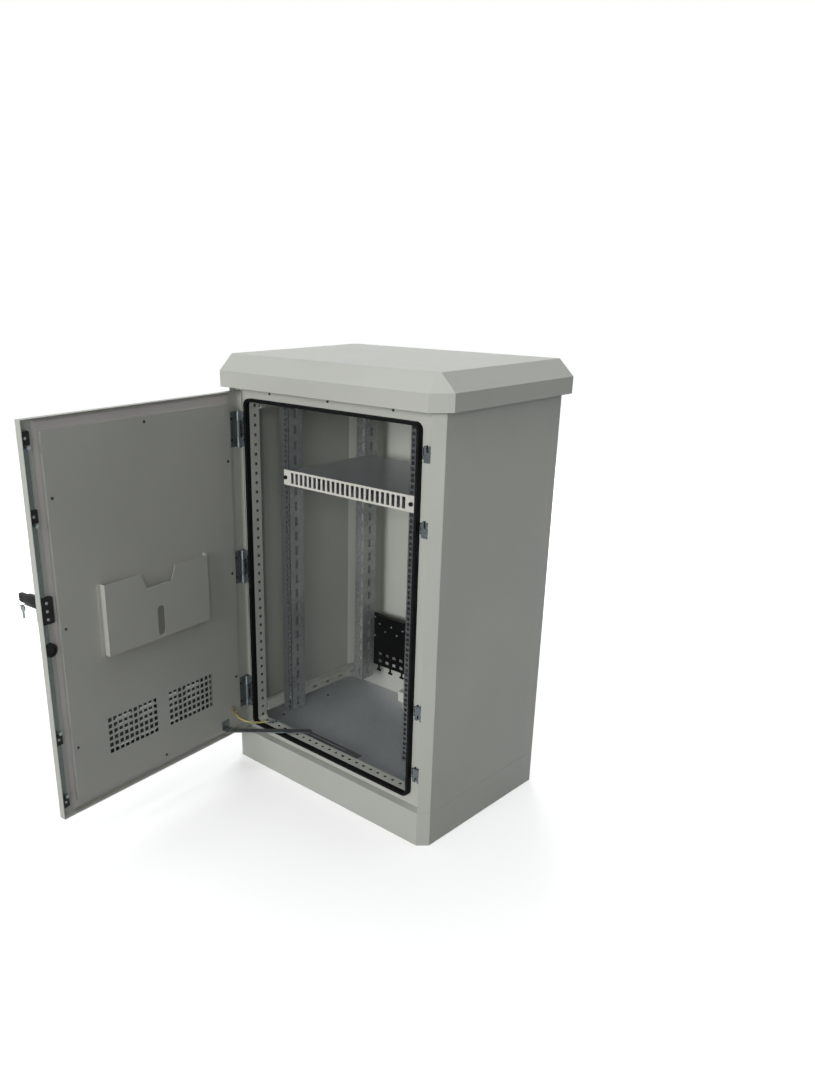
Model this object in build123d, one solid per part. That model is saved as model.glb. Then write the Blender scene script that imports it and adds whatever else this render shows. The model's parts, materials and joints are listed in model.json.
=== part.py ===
from build123d import *
import os
from math import sqrt, tan, radians

# Roadside cabinet for 19 inch equipment, with its door held open by the stay.
# X runs across the front, Y runs back into the cabinet and Z is up, all in millimetres.
# The origin is the middle of the plinth, on the ground.

# Room left for cuts and between moving pieces
overrun = 5
running_gap = 0.3

# Body
body_width = 772
body_depth = 538
body_top_height = 1190
corner_cut = 25
sheet = 2

# Plinth
plinth_height = 100
plinth_sheet = 2.5
plinth_top_flange = 30
plinth_foot_flange = 70
anchor_inset = 45
anchor_hole = 14

# Roof cap
roof_sheet = 2
roof_overhang = 26
roof_overlap = 28
roof_lip = 44
roof_corner_cut = 44
roof_bevel = 44
roof_rise = 43
roof_point = 1.5
spacer_diameter = 24
spacer_bore = 9
spacer_inset = 110

# Front frame round the door opening
recess = 26
jamb_width = 53
sill_height = 32
head_height = 67
opening_corner = 12
jamb_depth = 36
jamb_turn = 14
jamb_hole = 8.5
jamb_hole_pitch = 27.5
jamb_hole_margin = 14
jamb_hole_line = 20

# Door seal on the frame
seal_width = 8
seal_front_depth = 9
seal_round = 2.5

# Door skin
door_side_gap = 6.5
door_bottom_gap = 9
door_top_gap = 12
door_sheet = 1.5
door_return = 20
door_open_angle = 84.7

# Hinges
hinge_axis_inset = 11
hinge_axis_depth = 12
hinge_bottom_inset = 117
hinge_top_inset = 108
hinge_height = 100
hinge_middle = 46
hinge_play = 1
hinge_knuckle = 12
hinge_pin = 6
hinge_pin_head = 9
hinge_pin_head_height = 2
hinge_plate = 2.5
hinge_web = 7
hinge_notch_margin = 4
frame_leaf_edge_reach = 14.5
frame_leaf_reach = 19.5
door_leaf_reach = 26.5
hinge_screw_spacing = 60
frame_leaf_screw_reach = 12.5
door_leaf_screw_reach = 17.5

# Louvres in the door skin
louvre_columns = 4
louvre_rows = 6
louvre_length = 56
louvre_pitch_x = 84
louvre_pitch_z = 20
louvre_slit = 7
louvre_reach = 5
louvre_sheet = 1.2

# Door liner with its vents
liner_side_gap = 2.5
liner_end_gap = 4.5
liner_sheet = 1.5
liner_corner = 6
vent_columns = 10
vent_rows = 6
vent_hole = 12.5
vent_pitch_x = 17.4
vent_pitch_z = 18.4
vent_middle_x = 107
vent_rise = 151.5
liner_screw_inset = 14
liner_screw_pitch = 331.5

# Raised frame round the liner, which the seal closes on
seal_frame_width = 10.5
seal_frame_end_gap = 4
seal_frame_slope = 6

# Document pocket
pocket_half_width = 179
pocket_rise = 383.5
pocket_height = 196
pocket_depth = 18
pocket_sheet = 1.5
pocket_ear = 10
pocket_notch_top = 118
pocket_notch_bottom = 86
pocket_notch_depth = 43
pocket_slot_width = 24
pocket_slot_length = 84
pocket_slot_foot = 9

# Lock rods, pins and guides in the free edge of the door
rod_inset = 13.5
rod_width = 14
rod_thickness = 3
rod_depth = 6
rod_clearance = 0.5
rod_end_inset = 25
upper_rod_rise = 2
lower_rod_drop = 40
rod_travel = 18
pin_end_inset = 65
pin_pitch = 183.5
pin_shank = 6
pin_head = 10
pin_head_depth = 17.5
pin_head_length = 6
guide_offset = 21
guide_width = 23.4
guide_height = 32
guide_thickness = 11

# Gearbox of the lock and the round plug below it
gearbox_width = 36
gearbox_rise = 19
gearbox_drop = 48
gearbox_thickness = 13.5
gearbox_screw_inset = 12.5
plug_drop = 118
plug_diameter = 36
plug_thickness = 12
plug_dish_diameter = 26
plug_dish = 2.5

# Latch keepers on the frame
keeper_sheet = 2.5
keeper_foot_width = 13
keeper_foot_height = 28
keeper_half_width = 9
keeper_mouth_reach = 12
keeper_tail_reach = 28
keeper_depth = 14
keeper_slot = 7.6
keeper_screw_spacing = 15

# Handle
spindle_rise = 70.5
spindle_diameter = 10
spindle_end_depth = 4.5
plate_thickness = 6
plate_width = 34
plate_round = 8
handle_gap = 0.5
hub_diameter = 32
hub_reach = 58
lever_length = 205
lever_root_width = 26
lever_tip_width = 20
lever_start_reach = 32
lever_thickness = 18

# Keys
key_shank = 7
key_shank_inside = 8
key_gap = 2
key_head_length = 38
key_head_height = 24
key_head_thickness = 7
key_head_round = 8
key_hole = 6
key_hole_inset = 7
ring_radius = 11
ring_wire = 1.6
spare_head = 18
spare_thickness = 2.5
spare_hole = 5
spare_shank_width = 6
spare_shank_length = 18

# Door stay
stay_pivot_reach = 105.5
stay_pivot_depth = 34
stay_rest_reach = 208
stay_track_lead = 18
stay_track_length = 233
stay_track_width = 26
stay_track_sheet = 2
stay_slot_line = 15
stay_slot = 6.6
stay_slot_lead = 6
stay_slot_length = 160
stay_slider_head = 14
stay_slider_head_height = 3
stay_slider_shank = 6
stay_arm_width = 22
stay_arm_thickness = 3
stay_pin = 6
stay_pin_end = 2
stay_bracket_width = 30
stay_bracket_height = 28
stay_bracket_sheet = 2.5
stay_bracket_reach = 24

# Rack rails and the bars that carry them
rack_half_aperture = 224
rack_hole_half_spacing = 232.55
rack_unit_height = 44.45
rack_hole_pitch = 15.875
rack_hole = 9.5
rack_slot_height = 24
rack_base_rise = 17.6
rail_sheet = 2
rail_flange = 35
rail_web = 57
web_slot_width = 12
web_slot_height = 26
rail_margin = 4
rail_tab_height = 14
rail_tab_foot = 16
front_rail_setback = 32
rear_rail_inset = 120
bar_inset = 86
bar_width = 28
bar_height = 26
bar_sheet = 2
lower_bar_rise = 26
upper_bar_drop = 23
bar_slot_length = 18
bar_slot_height = 8
bar_slot_pitch = 60
bar_slots = 6

# Patch panel and the tray behind it
panel_width = 482.6
panel_height = 43.6
panel_sheet = 2
panel_units_down = 5
panel_openings = 24
panel_opening_width = 11
panel_opening_height = 31
panel_opening_pitch = 18
panel_screw_head = 11
panel_screw_height = 5
tray_half_width = 220
tray_rear_reach = 13
tray_height = 41
tray_sheet = 1.2

# Cable anchor panel behind the rear rails
anchor_panel_rise = 57
anchor_panel_height = 178
anchor_panel_sheet = 2
anchor_panel_fold = 16
window_columns = 14
window_pitch = 30
window_width = 15
window_height = 11
window_rows = 2
window_row_rise = 17
window_row_pitch = 26
lug_columns = 9
lug_pitch = 50
lug_stem_width = 7
lug_head_width = 18
lug_head_height = 7
lug_length = 20

# Terminal block on the floor
block_x = -105
block_back_inset = 35
block_width = 40
block_depth = 26
block_height = 36
block_slot = 4
block_slot_depth = 8
block_slots = 4

# Screw heads
screw_head = 8
screw_head_height = 2
floor_screw_inset = 61
floor_screw_pitch = 206
floor_screw_middle = -17
frame_screw_spacing = 222
frame_screw_rise = 27

# Earth wire between door and frame
wire_diameter = 6
stud_diameter = 6
stud_length = 12
nut_width = 10
nut_height = 5
earth_lug_diameter = 14
earth_lug_sheet = 2
barrel_diameter = 8
barrel_reach = 18
barrel_length = 9
earth_door_reach = 72.5
earth_door_rise = 60.5
earth_frame_reach = 81.5
earth_frame_setback = 27
earth_door_tilt = 25
earth_frame_tilt = 30
wire_lead = 13
wire_fill_share = 0.45
wire_route = (
    (-319, -300, 149),
    (-305, -287, 141.5),
    (-293, -269.5, 138),
)

# Places of the body and of the door opening
front = -body_depth / 2
rear_inside = body_depth / 2 - sheet
post_x = body_width / 2 - corner_cut
roof_edge_height = body_top_height - roof_overlap
frame_face = front + recess
jamb_back = frame_face + jamb_depth
opening_half_width = post_x - jamb_width
opening_bottom = plinth_height + sill_height
opening_top = body_top_height - head_height
opening_middle = (opening_top + opening_bottom) / 2
floor_top = plinth_height + sheet

# Places on the closed door
door_half_width = post_x - door_side_gap
door_bottom = plinth_height + door_bottom_gap
door_top = roof_edge_height - door_top_gap
door_middle = (door_top + door_bottom) / 2
hinge_x = hinge_axis_inset - door_half_width
hinge_y = front + hinge_axis_depth
hinge_low = door_bottom + hinge_bottom_inset
hinge_high = door_top - hinge_top_inset
hinge_heights = (hinge_low, (hinge_low + hinge_high) / 2, hinge_high)
channel_floor = front + door_sheet
liner_half_width = opening_half_width - liner_side_gap
liner_bottom = opening_bottom + liner_end_gap
liner_top = opening_top - liner_end_gap
liner_middle = (liner_top + liner_bottom) / 2
liner_face = front + door_return
vent_middle_z = liner_bottom + vent_rise
pocket_bottom = liner_bottom + pocket_rise
pocket_top = pocket_bottom + pocket_height

# Places of the lock and the handle
spindle_height = door_middle + spindle_rise
rod_x = door_half_width - rod_inset
rod_front = front + rod_depth
rod_face = rod_front + rod_thickness
upper_pin_heights = (door_top - pin_end_inset - pin_pitch, door_top - pin_end_inset)
lower_pin_heights = (door_bottom + pin_end_inset, door_bottom + pin_end_inset + pin_pitch)
upper_keeper_heights = [height - rod_travel for height in upper_pin_heights]
lower_keeper_heights = [height + rod_travel for height in lower_pin_heights]
pin_head_front = front + pin_head_depth
gearbox_x = door_half_width - door_sheet - running_gap - gearbox_width / 2
gearbox_bottom = spindle_height - gearbox_drop
gearbox_top = spindle_height + gearbox_rise
gearbox_middle = (gearbox_top + gearbox_bottom) / 2
gearbox_face = channel_floor + gearbox_thickness
plug_height = spindle_height - plug_drop
keeper_front = front + keeper_depth
keeper_web_x = rod_x - keeper_half_width
keeper_middle_rise = (keeper_mouth_reach - keeper_tail_reach) / 2
hub_end = front - hub_reach
key_head_start = hub_end - key_gap
key_hole_y = key_head_start - key_head_length + key_hole_inset

# Places of the stay
slider_top = opening_bottom + stay_slider_head_height
arm_bottom = slider_top + running_gap
arm_top = arm_bottom + stay_arm_thickness
bracket_bottom = arm_top + running_gap
stay_slot_y = jamb_back + stay_slot_line
stay_pivot_x = hinge_x + stay_pivot_reach
stay_pivot_y = front + stay_pivot_depth
stay_rest_x = hinge_x + stay_rest_reach

# Places of the rack
bar_inner_x = body_width / 2 - bar_inset
lower_bar_bottom = opening_bottom + lower_bar_rise
upper_bar_bottom = opening_top - upper_bar_drop
front_rail_y = jamb_back + front_rail_setback
rear_rail_y = rear_inside - rear_rail_inset
rack_base_height = lower_bar_bottom + rack_base_rise
rail_bottom = rack_base_height - rail_margin
rail_top = upper_bar_bottom + rail_tab_height
rack_units = int((rail_top - rail_margin - rack_base_height) / rack_unit_height)
panel_middle = rack_base_height + (rack_units - panel_units_down + 1 / 2) * rack_unit_height
anchor_panel_front = rear_rail_y + rail_web
anchor_panel_bottom = lower_bar_bottom + anchor_panel_rise
anchor_panel_top = anchor_panel_bottom + anchor_panel_height
block_y = rear_inside - block_back_inset


# Shared shapes

def span_box(x_span, y_span, z_span):
    """Box between two limits on each axis."""
    spans = (x_span, y_span, z_span)
    middle = [sum(span) / 2 for span in spans]
    size = [abs(span[1] - span[0]) for span in spans]
    return Pos(*middle) * Box(*size)


def front_slab(outline, y_start, depth):
    """Front view outline, x across and z up, carried back from y_start."""
    return extrude(Plane.XZ.offset(-y_start) * outline, amount=-depth)


def plan_slab(outline, z_start, height):
    """Plan view outline carried up from z_start."""
    return extrude(Pos(0, 0, z_start) * outline, amount=height)


def side_slab(outline, x_start, width):
    """Side view outline, y across and z up, carried along x from x_start."""
    return extrude(Plane.YZ.offset(x_start) * outline, amount=width)


def shaped(*points):
    """Flat face inside a closed run of straight lines."""
    return make_face(Polyline(*points, close=True))


def standing(foot, outward, diameter, height):
    """Round bar that stands on a face at foot and points outward."""
    upright = Cylinder(diameter / 2, height, align=(Align.CENTER, Align.CENTER, Align.MIN))
    return Plane(origin=foot, z_dir=outward) * upright


def cut_corner_plan(width, depth, cut):
    """Plan rectangle with its four corners cut at 45 degrees."""
    return chamfer(Rectangle(width, depth).vertices(), length=cut)


def centred(count, pitch):
    """Evenly spaced places about zero."""
    return [(index - (count - 1) / 2) * pitch for index in range(count)]


def screw_heads(spots, outward):
    """One round head on each spot of a face."""
    return [standing(spot, outward, screw_head, screw_head_height) for spot in spots]


def opened(shape):
    """Turns a piece of the closed door about the hinges to where the stay holds it."""
    hinge_line = Pos(hinge_x, hinge_y, 0)
    return hinge_line * Rot(0, 0, -door_open_angle) * hinge_line.inverse() * shape


# Plinth, body and roof

def plinth():
    outside = cut_corner_plan(body_width, body_depth, corner_cut)
    inside = offset(outside, amount=-plinth_sheet, kind=Kind.INTERSECTION)
    ring = plan_slab(outside, 0, plinth_height)
    hollow = plan_slab(inside, plinth_sheet, plinth_height - 2 * plinth_sheet)
    foot_window = Rectangle(body_width - 2 * plinth_foot_flange, body_depth - 2 * plinth_foot_flange)
    top_window = Rectangle(body_width - 2 * plinth_top_flange, body_depth - 2 * plinth_top_flange)
    holes = [
        Pos(x, y) * Circle(anchor_hole / 2)
        for x in centred(2, body_width - 2 * anchor_inset)
        for y in centred(2, body_depth - 2 * anchor_inset)
    ]
    foot_cut = plan_slab(foot_window + holes, -overrun, plinth_sheet + 2 * overrun)
    top_cut = plan_slab(top_window, plinth_height - plinth_sheet - overrun, plinth_sheet + 2 * overrun)
    return ring - [hollow, foot_cut, top_cut]


def body_shell():
    outside = cut_corner_plan(body_width, body_depth, corner_cut)
    wall = outside - offset(outside, amount=-sheet, kind=Kind.INTERSECTION)
    doorway = Pos(0, front) * Rectangle(2 * post_x, 2 * recess)
    turned_back = [
        Pos(side * (post_x + sheet / 2), front + recess / 2) * Rectangle(sheet, recess) & outside
        for side in (-1, 1)
    ]
    return plan_slab(wall - doorway + turned_back, plinth_height, body_top_height - plinth_height)


def top_panel():
    return plan_slab(cut_corner_plan(body_width, body_depth, corner_cut), body_top_height, sheet)


def floor_plate():
    outside = cut_corner_plan(body_width, body_depth, corner_cut)
    inside = offset(outside, amount=-sheet, kind=Kind.INTERSECTION)
    frame_strip = Pos(0, front) * Rectangle(body_width, 2 * (recess + sheet))
    return plan_slab(inside - frame_strip, plinth_height, sheet)


def roof_form(inset):
    """Outside of the roof cap, or the same form drawn in by a sheet's thickness."""
    width = body_width + 2 * (roof_overhang - inset)
    depth = body_depth + 2 * (roof_overhang - inset)
    eave = cut_corner_plan(width, depth, roof_corner_cut)
    crest = cut_corner_plan(width - 2 * roof_bevel, depth - 2 * roof_bevel, roof_point)
    lip_top = roof_edge_height + roof_lip
    crown = loft([Pos(0, 0, lip_top) * eave, Pos(0, 0, lip_top + roof_rise - inset) * crest], ruled=True)
    return plan_slab(eave, roof_edge_height, roof_lip) + crown


def roof_cap():
    return roof_form(0) - roof_form(roof_sheet)


def roof_spacers():
    foot = body_top_height + sheet
    height = roof_edge_height + roof_lip + roof_rise - roof_sheet - foot
    ring = Circle(spacer_diameter / 2) - Circle(spacer_bore / 2)
    tube = plan_slab(ring, foot, height)
    return [
        Pos(x, y) * tube
        for x in centred(2, body_width - 2 * spacer_inset)
        for y in centred(2, body_depth - 2 * spacer_inset)
    ]


# Front frame, seal and keepers

def opening_outline(grow):
    """Door opening seen from the front, grown on every side."""
    width = 2 * (opening_half_width + grow)
    height = opening_top - opening_bottom + 2 * grow
    return Pos(0, opening_middle) * RectangleRounded(width, height, opening_corner + grow)


def jamb_holes():
    """Square punches through the flange round the opening."""
    height = opening_top - opening_bottom
    upright_count = int((height - 2 * jamb_hole_margin) / jamb_hole_pitch) + 1
    level_count = int(2 * (opening_half_width - jamb_hole_margin) / jamb_hole_pitch) + 1
    line_y = frame_face + jamb_hole_line
    reach = 2 * (sheet + overrun)
    uprights = [
        Pos(x, line_y, opening_middle + z) * Box(reach, jamb_hole, jamb_hole)
        for x in (-opening_half_width, opening_half_width)
        for z in centred(upright_count, jamb_hole_pitch)
    ]
    levels = [
        Pos(x, line_y, z) * Box(jamb_hole, jamb_hole, reach)
        for z in (opening_bottom, opening_top)
        for x in centred(level_count, jamb_hole_pitch)
    ]
    return uprights + levels


def front_frame():
    height = body_top_height - plinth_height
    sheet_outline = Pos(0, plinth_height + height / 2) * Rectangle(2 * (post_x + sheet), height)
    face = front_slab(sheet_outline - opening_outline(0), frame_face, sheet)
    flange = front_slab(opening_outline(sheet) - opening_outline(0), frame_face, jamb_depth)
    turn = front_slab(opening_outline(jamb_turn) - opening_outline(0), jamb_back - sheet, sheet)
    return face + flange + turn - jamb_holes()


def door_seal():
    ring = opening_outline(seal_width) - opening_outline(0)
    seal = front_slab(ring, front + seal_front_depth, recess - seal_front_depth)
    return fillet(seal.faces().sort_by(Axis.Y)[0].edges(), radius=seal_round)


def keeper(height, mouth):
    """Box shaped latch keeper with its seat at a height, and its mouth up for 1 and down for -1."""
    middle = height + mouth * keeper_middle_rise
    half = keeper_foot_height / 2
    foot = span_box(
        (keeper_web_x - keeper_foot_width, keeper_web_x),
        (frame_face - keeper_sheet, frame_face),
        (middle - half, middle + half),
    )
    z_span = sorted((height + mouth * keeper_mouth_reach, height - mouth * keeper_tail_reach))
    outer_x = rod_x + keeper_half_width
    box = span_box((keeper_web_x - keeper_sheet, outer_x), (keeper_front, frame_face), z_span)
    room = span_box(
        (keeper_web_x, outer_x - keeper_sheet),
        (keeper_front + keeper_sheet, frame_face + overrun),
        (z_span[0] - overrun, z_span[1] + overrun),
    )
    mouth_length = keeper_mouth_reach + overrun
    mouth_cut = Pos(rod_x, height + mouth * mouth_length / 2) * Rectangle(keeper_slot, mouth_length)
    seat = Pos(rod_x, height) * Circle(keeper_slot / 2)
    cut = front_slab(mouth_cut + seat, keeper_front - overrun, keeper_sheet + 2 * overrun)
    return foot + box - room - cut


def keepers():
    upper = [keeper(height, 1) for height in upper_keeper_heights]
    lower = [keeper(height, -1) for height in lower_keeper_heights]
    return lower + upper


# Hinges

def knuckle(bore, start, length, tail_y):
    """Hinge knuckle on the pin's line with a web to the leaf at tail_y."""
    tail = span_box((-hinge_web / 2, hinge_web / 2), sorted((0, tail_y - hinge_y)), (0, length))
    roll = plan_slab(Circle(hinge_knuckle / 2), 0, length)
    eye = plan_slab(Circle(bore / 2), -overrun, length + 2 * overrun)
    return Pos(hinge_x, hinge_y, start) * (roll + tail - eye)


def hinge_frame_leaf(height):
    half = hinge_height / 2
    length = half - hinge_middle / 2 - hinge_play
    plate_front = frame_face - hinge_plate
    plate = span_box(
        (hinge_x - frame_leaf_edge_reach, hinge_x + frame_leaf_reach),
        (plate_front, frame_face),
        (height - half, height + half),
    )
    lower = knuckle(hinge_pin, height - half, length, plate_front)
    upper = knuckle(hinge_pin, height + half - length, length, plate_front)
    return plate + lower + upper


def hinge_pins():
    pins = []
    for height in hinge_heights:
        top = height + hinge_height / 2
        bar = plan_slab(Circle(hinge_pin / 2), top - hinge_height, hinge_height)
        head = plan_slab(Circle(hinge_pin_head / 2), top, hinge_pin_head_height)
        pins.append(Pos(hinge_x, hinge_y) * (bar + head))
    return pins


def hinge_door_leaf(height):
    half = hinge_height / 2
    plate_back = channel_floor + hinge_plate
    plate = span_box(
        (hinge_x - hinge_web / 2, hinge_x + door_leaf_reach),
        (channel_floor, plate_back),
        (height - half, height + half),
    )
    bore = hinge_pin + 2 * running_gap
    return plate + knuckle(bore, height - hinge_middle / 2, hinge_middle, plate_back)


# Door panels

def louvre(x, height):
    """Outside of one louvre hood and the room inside it, open at the bottom."""
    top = height + louvre_slit
    hood = shaped(
        (channel_floor, height), (front - louvre_reach, height), (channel_floor, top + louvre_sheet)
    )
    room = shaped(
        (channel_floor + overrun, height),
        (front - louvre_reach + louvre_sheet, height),
        (front, top),
        (channel_floor + overrun, top),
    )
    inside_length = louvre_length - 2 * louvre_sheet
    outside = side_slab(hood, x - louvre_length / 2, louvre_length)
    return outside, side_slab(room, x - inside_length / 2, inside_length)


def door_skin():
    width = 2 * door_half_width
    outline = Pos(0, door_middle) * Rectangle(width, door_top - door_bottom)
    tray = Pos(0, door_middle) * Rectangle(width - 2 * door_sheet, door_top - door_bottom - 2 * door_sheet)
    pan = front_slab(outline, front, door_return) - front_slab(tray, channel_floor, door_return)
    notch_half = hinge_height / 2 + hinge_notch_margin
    notches = [
        span_box(
            (-door_half_width - overrun, -door_half_width + door_sheet),
            (channel_floor, front + door_return + overrun),
            (height - notch_half, height + notch_half),
        )
        for height in hinge_heights
    ]
    louvres = [
        louvre(x, vent_middle_z + z - louvre_slit / 2)
        for x in centred(louvre_columns, louvre_pitch_x)
        for z in centred(louvre_rows, louvre_pitch_z)
    ]
    spindle_hole = front_slab(
        Pos(gearbox_x, spindle_height) * Circle(spindle_diameter / 2 + running_gap),
        front - overrun,
        door_sheet + 2 * overrun,
    )
    hoods = [outside for outside, room in louvres]
    rooms = [room for outside, room in louvres]
    return pan + hoods - rooms - notches - spindle_hole


def vent_holes():
    return [
        Pos(side * vent_middle_x + x, vent_middle_z + z) * Rectangle(vent_hole, vent_hole)
        for side in (-1, 1)
        for x in centred(vent_columns, vent_pitch_x)
        for z in centred(vent_rows, vent_pitch_z)
    ]


def liner_outline(grow):
    """Outline of the liner, made larger all round."""
    width = 2 * (liner_half_width + grow)
    height = liner_top - liner_bottom + 2 * grow
    return Pos(0, liner_middle) * RectangleRounded(width, height, liner_corner + grow)


def door_liner():
    walls = liner_outline(0) - liner_outline(-liner_sheet)
    face = liner_outline(0) - vent_holes()
    sides = front_slab(walls, channel_floor, door_return - door_sheet)
    return sides + front_slab(face, liner_face - liner_sheet, liner_sheet)


def door_seal_frame():
    """Raised frame with a sloped outer edge, wider above and below the liner."""
    width = 2 * (liner_half_width + seal_frame_width)
    height = door_top - door_bottom - 2 * (door_sheet + seal_frame_end_gap)
    outline = Pos(0, door_middle) * RectangleRounded(width, height, liner_corner)
    frame = front_slab(outline, channel_floor, seal_front_depth - door_sheet - running_gap)
    sloped = chamfer(frame.faces().sort_by(Axis.Y)[-1].edges(), length=seal_frame_slope)
    return sloped - front_slab(liner_outline(0), channel_floor - overrun, door_return)


def document_pocket():
    width = 2 * pocket_half_width
    height = pocket_height
    middle = pocket_bottom + pocket_height / 2
    depth = pocket_depth
    block = front_slab(Pos(0, middle) * Rectangle(width, height), liner_face, depth)
    room = front_slab(
        Pos(0, middle + pocket_sheet + overrun / 2)
        * Rectangle(width - 2 * pocket_sheet, height + overrun),
        liner_face - overrun,
        depth + overrun - pocket_sheet,
    )
    ears = front_slab(
        Pos(0, middle) * Rectangle(width + 2 * pocket_ear, height), liner_face, pocket_sheet
    ) - front_slab(Pos(0, middle) * Rectangle(width, height), liner_face - overrun, depth + 2 * overrun)
    notch = shaped(
        (-pocket_notch_top / 2, pocket_top),
        (-pocket_notch_bottom / 2, pocket_top - pocket_notch_depth),
        (pocket_notch_bottom / 2, pocket_top - pocket_notch_depth),
        (pocket_notch_top / 2, pocket_top),
    )
    slot_middle = pocket_bottom + pocket_slot_foot + pocket_slot_length / 2
    slot = Pos(0, slot_middle) * Rot(0, 0, 90) * SlotOverall(pocket_slot_length, pocket_slot_width)
    front_inside = liner_face + depth - pocket_sheet
    front_cut = front_slab(notch + slot, front_inside - overrun, pocket_sheet + 2 * overrun)
    return block - room - front_cut + ears


# Lock

def rod(bottom, top):
    return span_box((rod_x - rod_width / 2, rod_x + rod_width / 2), (rod_front, rod_face), (bottom, top))


def lock_pins(heights):
    pins = []
    for height in heights:
        shank = standing((rod_x, rod_face, height), (0, 1, 0), pin_shank, pin_head_front - rod_face)
        head = standing((rod_x, pin_head_front, height), (0, 1, 0), pin_head, pin_head_length)
        pins.append(shank + head)
    return pins


def rod_passage(bottom, top):
    """Room for a lock rod with clearance all round."""
    half = rod_width / 2 + rod_clearance
    return span_box(
        (rod_x - half, rod_x + half),
        (rod_front - rod_clearance, rod_face + rod_clearance),
        (bottom - overrun, top + overrun),
    )


def rod_guides():
    middles = [height + guide_offset for height in upper_pin_heights]
    middles += [height - guide_offset for height in lower_pin_heights]
    guides = []
    for middle in middles:
        bottom = middle - guide_height / 2
        top = middle + guide_height / 2
        block = span_box(
            (rod_x - guide_width / 2, rod_x + guide_width / 2),
            (channel_floor, channel_floor + guide_thickness),
            (bottom, top),
        )
        guides.append(block - rod_passage(bottom, top))
    return guides


def lock_gearbox():
    outline = Pos(gearbox_x, gearbox_middle) * Rectangle(gearbox_width, gearbox_top - gearbox_bottom)
    case = front_slab(outline, channel_floor, gearbox_thickness)
    spindle_room = front_slab(
        Pos(gearbox_x, spindle_height) * Circle(spindle_diameter / 2 + running_gap),
        channel_floor - overrun,
        spindle_end_depth - door_sheet + overrun + running_gap,
    )
    return case - rod_passage(gearbox_bottom, gearbox_top) - spindle_room


def lock_plug():
    centre = Pos(gearbox_x, plug_height)
    disc = front_slab(centre * Circle(plug_diameter / 2), channel_floor, plug_thickness)
    dish = front_slab(
        centre * Circle(plug_dish_diameter / 2),
        channel_floor + plug_thickness - plug_dish,
        plug_dish + overrun,
    )
    passage = rod_passage(plug_height - plug_diameter / 2, plug_height + plug_diameter / 2)
    return disc - dish - passage


# Handle and keys

def escutcheon():
    height = gearbox_top - gearbox_bottom
    outline = Pos(gearbox_x, gearbox_middle) * RectangleRounded(plate_width, height, plate_round)
    bore = Pos(gearbox_x, spindle_height) * Circle(spindle_diameter / 2 + running_gap)
    return front_slab(outline - bore, front - plate_thickness, plate_thickness)


def handle_lever():
    """Lever, hub and spindle in one, with the lever level and pointing to the hinges."""
    centre = Pos(gearbox_x, spindle_height)
    hub_start = front - plate_thickness - handle_gap
    hub = front_slab(centre * Circle(hub_diameter / 2), hub_end, hub_start - hub_end)
    spindle_end = front + spindle_end_depth
    spindle = front_slab(centre * Circle(spindle_diameter / 2), hub_start, spindle_end - hub_start)
    blade = shaped(
        (0, -lever_root_width / 2),
        (0, lever_root_width / 2),
        (-lever_length, lever_tip_width / 2),
        (-lever_length, -lever_tip_width / 2),
    )
    tip = Pos(-lever_length, 0) * Circle(lever_tip_width / 2)
    lever = front_slab(centre * (blade + tip), front - lever_start_reach - lever_thickness, lever_thickness)
    key_room = front_slab(
        centre * Circle(key_shank / 2 + running_gap),
        hub_end - overrun,
        key_shank_inside + overrun + running_gap,
    )
    return hub + spindle + lever - key_room


def key():
    """Key in the hub, with a flat head standing on edge."""
    shank = front_slab(
        Pos(gearbox_x, spindle_height) * Circle(key_shank / 2), key_head_start, key_gap + key_shank_inside
    )
    head_outline = Pos(key_head_start - key_head_length / 2, spindle_height) * RectangleRounded(
        key_head_length, key_head_height, key_head_round
    )
    hole = Pos(key_hole_y, spindle_height) * Circle(key_hole / 2)
    head = side_slab(head_outline - hole, gearbox_x - key_head_thickness / 2, key_head_thickness)
    return shank + head


def ring_sag(thickness):
    """How far the ring curves away within the thickness of a key it passes through."""
    return ring_radius - sqrt(ring_radius ** 2 - (thickness / 2) ** 2)


def ring_height():
    """Middle of the ring that hangs in the key's hole."""
    hole_bottom = spindle_height - key_hole / 2
    return hole_bottom + running_gap + ring_wire / 2 + ring_sag(key_head_thickness) - ring_radius


def key_ring():
    ring_middle = (gearbox_x, key_hole_y, ring_height())
    return Plane(origin=ring_middle, z_dir=(0, 1, 0)) * Torus(ring_radius, ring_wire / 2)


def spare_key():
    """Flat spare key that hangs from the ring."""
    seat_z = ring_height() - ring_radius + ring_wire / 2 + ring_sag(spare_thickness) + running_gap
    eye_z = seat_z - spare_hole / 2
    head_z = eye_z - spare_head / 2 + spare_hole / 2 + ring_wire
    head = Pos(key_hole_y, head_z) * Circle(spare_head / 2)
    bow = Pos(key_hole_y, eye_z) * Circle(spare_hole / 2)
    length = spare_head / 2 + spare_shank_length
    shank = Pos(key_hole_y, head_z - length / 2) * Rectangle(spare_shank_width, length)
    return side_slab(head + shank - bow, gearbox_x - spare_thickness / 2, spare_thickness)


# Door stay

def stay_track():
    top = opening_bottom
    start = stay_rest_x - stay_track_lead
    end = start + stay_track_length
    leg = plan_slab(
        shaped(
            (start, jamb_back),
            (end, jamb_back),
            (end, jamb_back + stay_track_width),
            (start, jamb_back + stay_track_width),
        ),
        top - stay_track_sheet,
        stay_track_sheet,
    )
    upright = span_box(
        (start, end),
        (jamb_back, jamb_back + stay_track_sheet),
        (top - jamb_turn, top),
    )
    slot_middle = stay_rest_x - stay_slot_lead + stay_slot_length / 2
    slot = Pos(slot_middle, stay_slot_y) * SlotOverall(stay_slot_length + stay_slot, stay_slot)
    return leg + upright - plan_slab(slot, top - stay_track_sheet - overrun, stay_track_sheet + 2 * overrun)


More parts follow.
